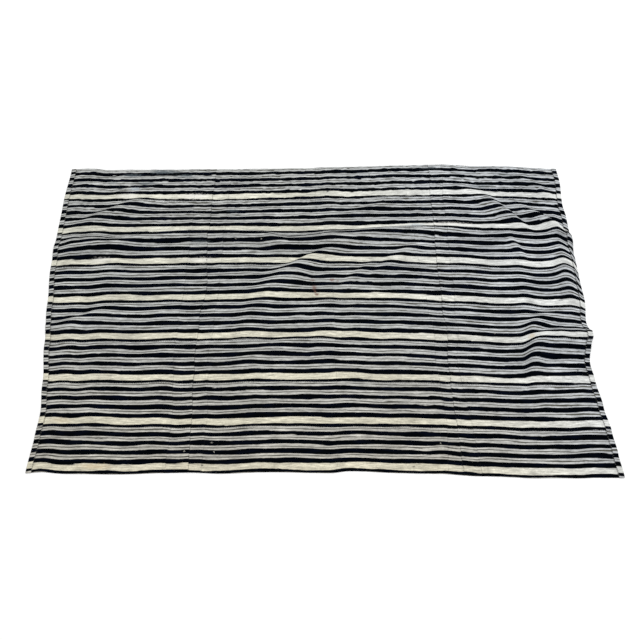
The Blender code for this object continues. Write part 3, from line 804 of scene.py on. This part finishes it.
@dataclass(frozen=True)
class WovenCotton:
    """Hand-spun cotton, warp-striped with indigo: matt, slubby, never one even tone."""

    name: str = "hand-woven striped cotton"
    roughness: float = 0.9
    specular: float = 0.01
    # The real yarns lie about 0.6 mm apart, drawn twice as coarse so that they show
    warp_pitch: float = 1.2
    weft_pitch: float = 1.5
    # In millimetres, how far from a pressed line the bands are out of line, and the step's length
    jog_reach: float = 45.0
    jog_length: float = 5.0

    def make(self) -> bpy.types.Material:
        """Makes the material, which reads the cloth's own UV map.

        Returns:
            The material.
        """
        cloth = ClothNodes(self.name, self.roughness, self.specular)
        lines = self.crease_lines(cloth)
        colour = self.colours(cloth, *self.bands(cloth, lines))
        colour = self.paint_shade_and_dirt(cloth, self.marks(cloth, colour), lines)
        return cloth.finish(colour, self.relief(cloth))

    def crease_lines(self, cloth: ClothNodes) -> list[tuple]:
        """Finds how far a place is from each pressed line.

        Args:
            cloth: The cloth's nodes.

        Returns:
            For each line its row of sizes and its signed distance in millimetres.
        """
        down = cloth.add("SeparateXYZ", {}, {0: cloth.flat}).outputs["Y"]
        lines = []
        for press in CREASES.values():
            curve = cloth.add("FloatCurve", {}, {"Value": down})
            points = curve.mapping.curves[0].points
            while len(points) < len(press.course):
                points.new(0.5, 0.5)
            for point, end in zip(points, press.course):
                cut = along_cut(end.x, end.strips) / CUT_LENGTH
                point.location = (end.strips / STRIPS, cut)
            curve.mapping.update()
            off = cloth.maths("MULTIPLY_ADD", curve.outputs[0], -CUT_LENGTH / MM, cloth.along)
            lines.append((press, off))
        return lines

    def bands(self, cloth: ClothNodes, lines: list[tuple]) -> tuple[Socket, Socket, Socket]:
        """Finds which band of the warp a place is in.

        Args:
            cloth: The cloth's nodes.
            lines: The pressed lines, across which the bands jog.

        Returns:
            The shares of indigo, of the middle line of a pale band and of cream.
        """
        down = cloth.down
        turn = self.jog_length / 2
        for press, off in lines:
            side = cloth.remap(off, (-turn, turn), (press.jog / 2, -press.jog / 2), soft=True)
            near = cloth.remap(cloth.maths("ABSOLUTE", off), (0, self.jog_reach), (1, 0), soft=True)
            down = cloth.maths("MULTIPLY_ADD", side, near, down)
        # How much a place lies in the back strips, whose indigo has blurred
        at_back = cloth.remap(down, (60, 330), (1, 0), soft=True)
        for stray in STRAYS:
            wander = cloth.maths("MULTIPLY_ADD", cloth.cells(stray.long, stray.wide, 1.0),
                                 stray.reach, -stray.reach / 2)
            down = cloth.maths("MULTIPLY_ADD", wander, at_back if stray.at_back else 1.0, down)
        width = STRIP_WIDTH / MM
        in_strip = cloth.maths("FLOORED_MODULO", down, width)
        in_pitch = cloth.maths("FLOORED_MODULO", in_strip, BAND_PITCH)
        indigo, pale, line, cream = (1, 0, 0, 1), (0, 0, 0, 1), (0, 1, 0, 1), (0, 0, 1, 1)
        end, edge = PALE_BAND / BAND_PITCH, BAND_EDGE / BAND_PITCH / 2
        middle, half = end / 2, MIDDLE_LINE_WIDTH / BAND_PITCH / 2
        even = cloth.ramp(cloth.maths("DIVIDE", in_pitch, BAND_PITCH), [
            (0.0, (0.5, 0, 0, 1)), (2 * edge, pale),
            (middle - half - edge, pale), (middle - half + edge, line),
            (middle + half - edge, line), (middle + half + edge, pale),
            (end - edge, pale), (end + edge, indigo),
            (1 - edge, indigo), (1.0, (0.5, 0, 0, 1)),
        ])
        # Where the alpha is 0 the even bands show
        start, edge = EVEN_BANDS * BAND_PITCH / width, BAND_EDGE / width / 2
        end = start + CREAM_BAND / width
        last = cloth.ramp(cloth.maths("DIVIDE", in_strip, width), [
            (0.0, (1, 0, 0, 0)), (start - edge, (1, 0, 0, 0)), (start + edge, cream),
            (end - edge, cream), (end + edge, indigo), (1 - edge, indigo), (1.0, (0.6, 0, 0, 1)),
        ])
        both = cloth.blend(last["Alpha"], even["Color"], last["Color"])
        return tuple(cloth.add("SeparateColor", {}, {0: both}).outputs)

    def colours(self, cloth: ClothNodes, in_indigo: Socket, in_line: Socket,
                in_cream: Socket) -> Socket:
        """Colours the bands, with slubs along the warp and a drift of tone over the cloth.

        Args:
            cloth: The cloth's nodes.
            in_indigo: The share of indigo.
            in_line: The share of the middle line of a pale band.
            in_cream: The share of cream.

        Returns:
            The colour.
        """
        # The drifts run to the front edge and to the back right corner, in millimetres of cloth
        corner = cloth.maths("MULTIPLY_ADD", cloth.down, -0.45, cloth.along)
        cream = cloth.drift(cloth.down, (200, 1050), 0.6, Yarn.NATURAL.linear, Yarn.BEIGE)
        cream = cloth.drift(corner, (700, 1250), 0.95, cream, Yarn.COOL_WHITE)
        pale = cloth.drift(cloth.down, (540, 940), 1.0, Yarn.PALE_BLUE.linear, Yarn.PALE_WARM)
        pale = cloth.drift(corner, (750, 1300), 0.9, pale, Yarn.PALE_COOL)
        indigo = cloth.drift(cloth.cells(55, 9, 4.0), (0.45, 0.75), 0.9, Yarn.INDIGO.linear,
                             Yarn.INDIGO_WORN)
        colour = cloth.blend(in_line, pale, Yarn.MIDDLE_LINE.linear)
        colour = cloth.blend(in_cream, colour, cream)
        for tone in TONES:
            cells = cloth.cells(tone.long, tone.wide, tone.detail)
            colour = cloth.shade(colour, cloth.remap(cells, (0.3, 0.7), (tone.dark, tone.light)))
        return cloth.blend(in_indigo, colour, indigo)

    def paint_shade_and_dirt(self, cloth: ClothNodes, colour: Socket, lines: list[tuple]) -> Socket:
        """Paints shade and dirt unevenly along the pressed lines, and shade along the sunken edge of
        each hem.

        Args:
            cloth: The cloth's nodes.
            colour: The cloth's colour.
            lines: The pressed lines.

        Returns:
            The worn colour.
        """
        broken = cloth.remap(cloth.cells(3, 6), (0.36, 0.56))
        # Painted shade and dirt along each pressed line, broken into dashes
        for press, off in lines:
            near = cloth.remap(cloth.maths("ABSOLUTE", off), (0.5, 2.0), (press.shade, 0), soft=True)
            share = cloth.maths("MULTIPLY", near, broken)
            colour = cloth.blend(share, colour, Stain.CREASE_SHADE_AND_DIRT.linear)
        # Painted shade along the sunken inner edge of each hem
        half = CUT_LENGTH / MM / 2
        edge = half - (HEM_CLOTH + HEM_WIDTH) / MM
        off = cloth.maths("ABSOLUTE", cloth.maths("ADD", cloth.along, -half))
        share = cloth.remap(off, (edge - 2.5, edge), (0.0, 0.3), soft=True)
        inside = cloth.maths("LESS_THAN", off, edge + 1.0)
        share = cloth.maths("MULTIPLY", share, inside)
        return cloth.blend(share, colour, Stain.HEM_PAINTED_SHADE.linear)

    def marks(self, cloth: ClothNodes, colour: Socket) -> Socket:
        """Lays the stains and specks over the colour, with ragged outlines.

        Args:
            cloth: The cloth's nodes.
            colour: The clean cloth's colour.

        Returns:
            The colour with its marks.
        """
        ragged = cloth.cells(7, 5, 3.0)
        for stain, marks in MARKS.items():
            for mark in marks:
                spot = (along_cut(mark.x, mark.strips) / MM, mark.strips * STRIP_WIDTH / MM, 0)
                off = cloth.maths("SUBTRACT", cloth.place, spot, kind="VectorMath")
                reach = (2 / mark.length, 2 / mark.width, 0)
                off = cloth.maths("MULTIPLY", off, reach, kind="VectorMath")
                far = cloth.add("VectorMath", {"operation": "LENGTH"}, {0: off}).outputs["Value"]
                far = cloth.maths("MULTIPLY_ADD", ragged, 1.6, far)
                share = cloth.remap(far, (2.1, 1.2), (0.0, mark.strength))
                colour = cloth.blend(share, colour, stain.linear)
        return colour

    def relief(self, cloth: ClothNodes) -> Socket:
        """Raises the yarns and the small crumples of washed cloth.

        Args:
            cloth: The cloth's nodes.

        Returns:
            The normal.
        """
        warp, weft = (cloth.maths("SINE", cloth.maths("MULTIPLY", axis, 2 * math.pi / pitch))
                      for axis, pitch in ((cloth.down, self.warp_pitch),
                                          (cloth.along, self.weft_pitch)))
        weave = cloth.maths("MULTIPLY_ADD", weft, 0.5, warp)
        yarns = cloth.add("Bump", {}, {"Height": weave, "Strength": 0.5, "Distance": 0.08 * MM})
        return cloth.add("Bump", {}, {
            "Height": cloth.cells(34, 22, 3.0), "Strength": 0.6, "Distance": 2.2 * MM,
            "Normal": yarns.outputs[0]}).outputs[0]


@dataclass(frozen=True)
class Thread:
    """Spun cotton thread, a dull twist that only shows as a line of stitches."""

    name: str
    colour: str
    roughness: float = 0.9
    specular: float = 0.08
    # Ply of about 0.5 mm
    ply: float = 0.5 * MM

    def make(self) -> bpy.types.Material:
        """Makes the material, with the twist as fine bands.

        Returns:
            The material.
        """
        nodes = Nodes(self.name, self.roughness, self.specular)
        place = nodes.add("TexCoord").outputs["Object"]
        twist = nodes.add("TexNoise", {}, {"Vector": place, "Scale": 1 / self.ply,
                                           "Detail": 2.0}).outputs["Fac"]
        tone = nodes.remap(twist, (0.3, 0.7), (0.7, 1.25))
        bump = nodes.add("Bump", {}, {"Height": twist, "Strength": 0.5, "Distance": 0.1 * MM})
        return nodes.finish(nodes.shade(linear(self.colour)[:3], tone), bump.outputs[0])


@dataclass(frozen=True)
class Paper:
    """White seamless paper, matt, brightly lit so that the cloth stands out from it."""

    name: str = "white seamless paper"
    colour: str = "FFFFFF"
    roughness: float = 0.95
    specular: float = 0.1

    def make(self) -> bpy.types.Material:
        """Makes the material, with the faint unevenness of paper.

        Returns:
            The material.
        """
        nodes = Nodes(self.name, self.roughness, self.specular)
        place = nodes.add("TexCoord").outputs["Object"]
        grain = nodes.add("TexNoise", {}, {"Vector": place, "Scale": 3.0}).outputs["Fac"]
        tone = nodes.remap(grain, (0.0, 1.0), (0.99, 1.0))
        return nodes.finish(nodes.shade(linear(self.colour)[:3], tone))


def link_object(name: str, data: bpy.types.ID) -> bpy.types.Object:
    """Puts a mesh, a lamp or a camera into the scene.

    Args:
        name: The object's name.
        data: What the object shows.

    Returns:
        The new object.
    """
    made = bpy.data.objects.new(name, data)
    bpy.context.scene.collection.objects.link(made)
    return made


def new_piece(name: str, bm: bmesh.types.BMesh, finish: bpy.types.Material) -> bpy.types.Object:
    """Turns a bmesh into a smooth-shaded piece that rides on the cloth.

    Args:
        name: The piece's name.
        bm: The mesh, which is freed.
        finish: Its material.

    Returns:
        The new object.
    """
    mesh = bpy.data.meshes.new(name)
    bm.to_mesh(mesh)
    bm.free()
    mesh.shade_smooth()
    mesh.materials.append(finish)
    piece = link_object(name, mesh)
    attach(piece, "root")
    return piece


# The sheet from raw edge to raw edge, column by column: the share of the cut length and of the
# cloth's length, the height of the sheet's middle, its normal and half its thickness
SheetPath = namedtuple("SheetPath", "cut cloth height normal_x normal_z half")


@dataclass
class WovenStrip:
    """One hand-woven strip with its two turned hems, a thin sheet from raw edge to raw edge."""

    number: int
    lay: Lay
    finish: bpy.types.Material
    main_columns: int = 440
    rows: int = 41
    # How far the turned cloth has slipped sideways on the hem, so that its bands don't meet
    hem_slip: float = 3.6 * MM
    piece: bpy.types.Object = field(init=False)

    def path(self) -> SheetPath:
        """Lays out the sheet's path from one raw edge to the other.

        Returns:
            The path.
        """
        hem = np.array(HEM_SECTION) * MM
        inner = hem[0, 0]
        body = np.linspace(inner, CLOTH_LENGTH - inner, self.main_columns)[1:-1]
        body = np.column_stack([body, np.full(len(body), CLOTH_THICKNESS / 2)])
        points = np.vstack([hem[::-1], body, (CLOTH_LENGTH, 0) + hem * (-1, 1)])
        step = np.hypot(*np.diff(points, axis=0).T)
        flat = np.concatenate([[0.0], np.cumsum(step)])
        way = np.gradient(points, axis=0)
        way /= np.linalg.norm(way, axis=1, keepdims=True)
        to_end = np.minimum(points[:, 0], CLOTH_LENGTH - points[:, 0])
        half = np.where(to_end < inner * 0.9, HEM_LAYER, CLOTH_THICKNESS) / 2
        return SheetPath(flat / flat[-1], points[:, 0] / CLOTH_LENGTH, points[:, 1],
                         -way[:, 1], way[:, 0], half)

    def build(self) -> None:
        """Makes the sheet from a doubled grid, folds it along its path and lays it down."""
        path = self.path()
        columns = len(path.cut) - 1
        gap = SEAM_GAP / 2 / STRIP_WIDTH
        first = self.number - 1 + (gap if self.number > 1 else 0.0)
        last = self.number - (gap if self.number < STRIPS else 0.0)
        bm = bmesh.new()
        bmesh.ops.create_grid(bm, x_segments=columns, y_segments=self.rows - 1, size=0.5)
        flat_map = bm.loops.layers.uv.new("flat cloth")
        top = bmesh.ops.extrude_face_region(bm, geom=bm.faces[:], use_keep_orig=True)
        for item in top["geom"]:
            if isinstance(item, bmesh.types.BMVert):
                item.co.z = 1.0
        bm.verts.index_update()
        along, across, side = (np.array([vert.co[:] for vert in bm.verts]) + (0.5, 0.5, 0)).T
        column = np.rint(along * columns).astype(int)
        strips = first + (last - first) * across
        slip = self.slip(path)[column] * (0.6 + 0.8 * np.sin(strips * 2.9 + 1.0) ** 2)
        flat = np.column_stack([path.cut[column], (strips + slip) / STRIPS])
        for face in bm.faces:
            for loop in face.loops:
                loop[flat_map].uv = flat[loop.vert.index]
        # Selvedges are a little thinner than the cloth between them
        to_edge = np.minimum(across, 1.0 - across) * STRIP_WIDTH
        thin = 0.72 + 0.28 * np.clip(to_edge / (2.5 * MM), 0.0, 1.0)
        place, steep = self.lay.at(path.cloth[column], strips)
        half = path.half[column] * thin * np.where(side > 0.5, 1.0, -1.0)
        place[:, 0] += path.normal_x[column] * half
        place[:, 2] += (path.height[column] + path.normal_z[column] * half) * steep
        for vert, co in zip(bm.verts, place):
            vert.co = co
        bmesh.ops.recalc_face_normals(bm, faces=bm.faces[:])
        self.piece = new_piece(f"woven_strip_{self.number}", bm, self.finish)

    def slip(self, path: SheetPath) -> np.ndarray:
        """Finds how far the turned cloth has slipped sideways in its hems.

        Args:
            path: The sheet's path.

        Returns:
            For each column the slip in strips: none at the fold, most at the inner edge.
        """
        into = (HEM_CLOTH - np.minimum(path.cut, 1 - path.cut) * CUT_LENGTH) / HEM_WIDTH
        return np.clip(0.7 + 0.3 * into, 0.0, 1.0) * (into > 0.06) * self.hem_slip / STRIP_WIDTH

    def dress(self) -> None:
        """Hides the imported solid that the strip stands for."""
        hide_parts(f"strip_{self.number}")


@dataclass
class Sewing:
    """A row of small stitches, each a short bent thread."""

    lay: Lay
    name: str
    finish: bpy.types.Material
    length: float = 4.4 * MM
    arch: float = 0.55 * MM
    thread: float = 0.7 * MM
    sides: int = 5
    cuts: int = 3

    def stitch(self) -> bpy.types.Mesh:
        """Makes one stitch along X, its middle higher than its ends.

        Returns:
            The stitch's mesh.
        """
        bm = bmesh.new()
        bmesh.ops.create_cone(bm, cap_ends=True, segments=self.sides, radius1=self.thread / 2,
                              radius2=self.thread / 2, depth=self.length,
                              matrix=Matrix.Rotation(math.pi / 2, 4, "Y"))
        for k in range(self.cuts):
            spot = self.length * ((k + 1) / (self.cuts + 1) - 0.5)
            bmesh.ops.bisect_plane(bm, geom=bm.verts[:] + bm.edges[:] + bm.faces[:],
                                   plane_co=(spot, 0, 0), plane_no=(1, 0, 0))
        for vert in bm.verts:
            part = 2 * vert.co.x / self.length
            vert.co.z += self.arch * (1 - part * part) - self.arch
        mesh = bpy.data.meshes.new("stitch")
        bm.to_mesh(mesh)
        bm.free()
        return mesh

    def sew(self, places: list[Matrix]) -> bpy.types.Object:
        """Sets a stitch at every place and joins them into one piece.

        Args:
            places: Each stitch's matrix.

        Returns:
            The sewing.
        """
        one = self.stitch()
        bm = bmesh.new()
        for place in places:
            before = len(bm.verts)
            bm.from_mesh(one)
            bm.verts.ensure_lookup_table()
            bmesh.ops.transform(bm, matrix=place, verts=bm.verts[before:])
        bpy.data.meshes.remove(one)
        return new_piece(self.name, bm, self.finish)


@dataclass
class SeamSewing(Sewing):
    """Whip stitches that hold two strips edge to edge."""

    seam: int = 1
    pitch: float = 5.2 * MM
    slant: float = math.radians(58)
    from_end: float = 4 * MM
    on_hem: float = 3.0 * MM
    on_cloth: float = 0.92 * CLOTH_THICKNESS

    def build(self) -> bpy.types.Object:
        """Sews the seam from hem to hem.

        Returns:
            The row of stitches.
        """
        draw = np.random.default_rng(100 + self.seam)
        places = []
        for k in range(int((CLOTH_LENGTH - 2 * self.from_end) / self.pitch)):
            along = self.from_end + (k + 0.5 + draw.uniform(-0.16, 0.16)) * self.pitch
            in_hem = min(along, CLOTH_LENGTH - along) < HEM_WIDTH
            at = self.lay.frame_at(along / CLOTH_LENGTH, self.seam + draw.uniform(-0.003, 0.003),
                                   self.on_hem if in_hem else self.on_cloth)
            places.append(at @ Matrix.Rotation(self.slant + draw.uniform(-0.2, 0.2), 4, "Z")
                          @ Matrix.Translation((0, 0, self.thread * 0.4)))
        return self.sew(places)


@dataclass
class HemSewing(Sewing):
    """Slanted hemming stitches along the inner edge of a hem."""

    length: float = 4.6 * MM
    arch: float = 0.5 * MM
    right: bool = False
    pitch: float = 5.6 * MM
    from_end: float = HEM_WIDTH + 0.3 * MM
    height: float = 1.95 * MM
    # Each stitch climbs from the single cloth onto the hem
    climb: float = math.radians(32)

    def build(self) -> bpy.types.Object:
        """Sews the hem from the back edge to the front edge.

        Returns:
            The row of stitches.
        """
        draw = np.random.default_rng(200 + self.right)
        share = self.from_end / CLOTH_LENGTH
        share, climb = (1 - share, -self.climb) if self.right else (share, self.climb)
        places = []
        for k in range(int(STRIPS * STRIP_WIDTH / self.pitch) - 1):
            down = (k + 1 + draw.uniform(-0.15, 0.15)) * self.pitch / STRIP_WIDTH
            at = self.lay.frame_at(share, down, self.height)
            places.append(at @ Matrix.Rotation(draw.uniform(0.35, 0.75), 4, "Z")
                          @ Matrix.Rotation(climb, 4, "Y"))
        return self.sew(places)


@dataclass
class LooseThreads(Sewing):
    """Bits of lint on the indigo and ends of yarn at the back edge."""

    length: float = 5.5 * MM
    arch: float = 0.5 * MM
    bits: int = 3
    spread: float = 1.6 * MM
    # Where the lint lies and where the edge frays: X, and strips from the back edge
    lint: tuple[tuple[float, float], ...] = (
        (-0.284, 7.33), (-0.354, 7.52), (-0.276, 7.53), (0.330, 7.34), (0.165, 0.27),
        (0.233, 0.19), (-0.251, 2.31), (-0.172, 2.33), (-0.349, 2.77), (0.509, 4.70),
    )
    fray: tuple[tuple[float, float], ...] = (
        (0.438, 0.012), (0.452, 0.008), (0.470, 0.012), (0.478, 0.008))

    def build(self) -> bpy.types.Object:
        """Lays the bits where they are on the cloth.

        Returns:
            The loose threads.
        """
        draw = np.random.default_rng(31)
        places = []
        for x, strips in self.lint + self.fray:
            for _ in range(self.bits):
                at = self.lay.frame_at(share_at(x + draw.normal(0, self.spread), strips),
                                       strips + abs(draw.normal(0, 0.008)), CLOTH_THICKNESS)
                places.append(at @ Matrix.Rotation(draw.uniform(0, math.pi), 4, "Z")
                              @ Matrix.Translation((0, 0, self.thread * 0.9)))
        return self.sew(places)


@dataclass
class Studio:
    """A pale floor, soft light from the back right and the camera."""

    floor_size: float = 12.0
    camera_place: tuple[float, float, float] = (0.0062, -0.7147, 1.614)
    camera_tilt: float = math.radians(22.41)
    lens: float = 33.75
    lamp_place: tuple[float, float, float] = (2.75, 3.75, 6.5)
    lamp_size: tuple[float, float] = (4.0, 3.0)
    lamp_power: float = 335.0
    surround: float = 0.72

    def build(self) -> None:
        """Sets up the floor, the camera and the light."""
        bm = bmesh.new()
        bmesh.ops.create_grid(bm, x_segments=8, y_segments=8, size=self.floor_size / 2)
        mesh = bpy.data.meshes.new("floor")
        bm.to_mesh(mesh)
        bm.free()
        mesh.materials.append(Paper().make())
        link_object("floor", mesh)
        camera = bpy.data.cameras.new("camera")
        camera.lens = self.lens
        camera.sensor_width = 36.0
        camera.clip_end = 50.0
        stand = link_object("camera", camera)
        stand.location = self.camera_place
        stand.rotation_euler = (self.camera_tilt, 0.0, 0.0)
        bpy.context.scene.camera = stand
        self.light()

    def light(self) -> None:
        """Adds one broad lamp at the back right and an even white surrounding."""
        lamp = bpy.data.lights.new("soft box", "AREA")
        lamp.shape = "RECTANGLE"
        lamp.size, lamp.size_y = self.lamp_size
        lamp.energy = self.lamp_power
        stand = link_object("soft box", lamp)
        stand.location = self.lamp_place
        stand.rotation_euler = (-Vector(self.lamp_place)).to_track_quat("-Z", "Y").to_euler()
        world = bpy.data.worlds.new("studio")
        bpy.context.scene.world = world
        world.use_nodes = True
        background = world.node_tree.nodes["Background"]
        background.inputs["Color"].default_value = (1, 1, 1, 1)
        background.inputs["Strength"].default_value = self.surround
        bpy.context.scene.view_settings.view_transform = "Standard"


def main() -> None:
    """Builds the cloth, its sewing and the studio in order and reports each piece."""
    lay = Lay()
    cotton = WovenCotton().make()
    dark = Thread("indigo sewing thread", "141C24").make()
    grey = Thread("undyed sewing thread", "6F706B").make()
    pale = Thread("loose cotton fibre", "ABA9A2").make()
    strips = [WovenStrip(number, lay, cotton) for number in range(1, STRIPS + 1)]
    for strip in strips:
        strip.build()
        strip.dress()
        log.info("%s: %d faces", strip.piece.name, len(strip.piece.data.polygons))
    sewing = [SeamSewing(lay, f"seam_sewing_{seam}", dark, seam=seam) for seam in range(1, STRIPS)]
    sewing += [HemSewing(lay, f"hem_sewing_{side}", grey, right=side == "right")
               for side in ("left", "right")]
    sewing.append(LooseThreads(lay, "loose_threads", pale))
    for row in sewing:
        piece = row.build()
        log.info("%s: %d faces", piece.name, len(piece.data.polygons))
    Studio().build()


if __name__ == "__main__":
    logging.basicConfig(level=logging.INFO)
    main()
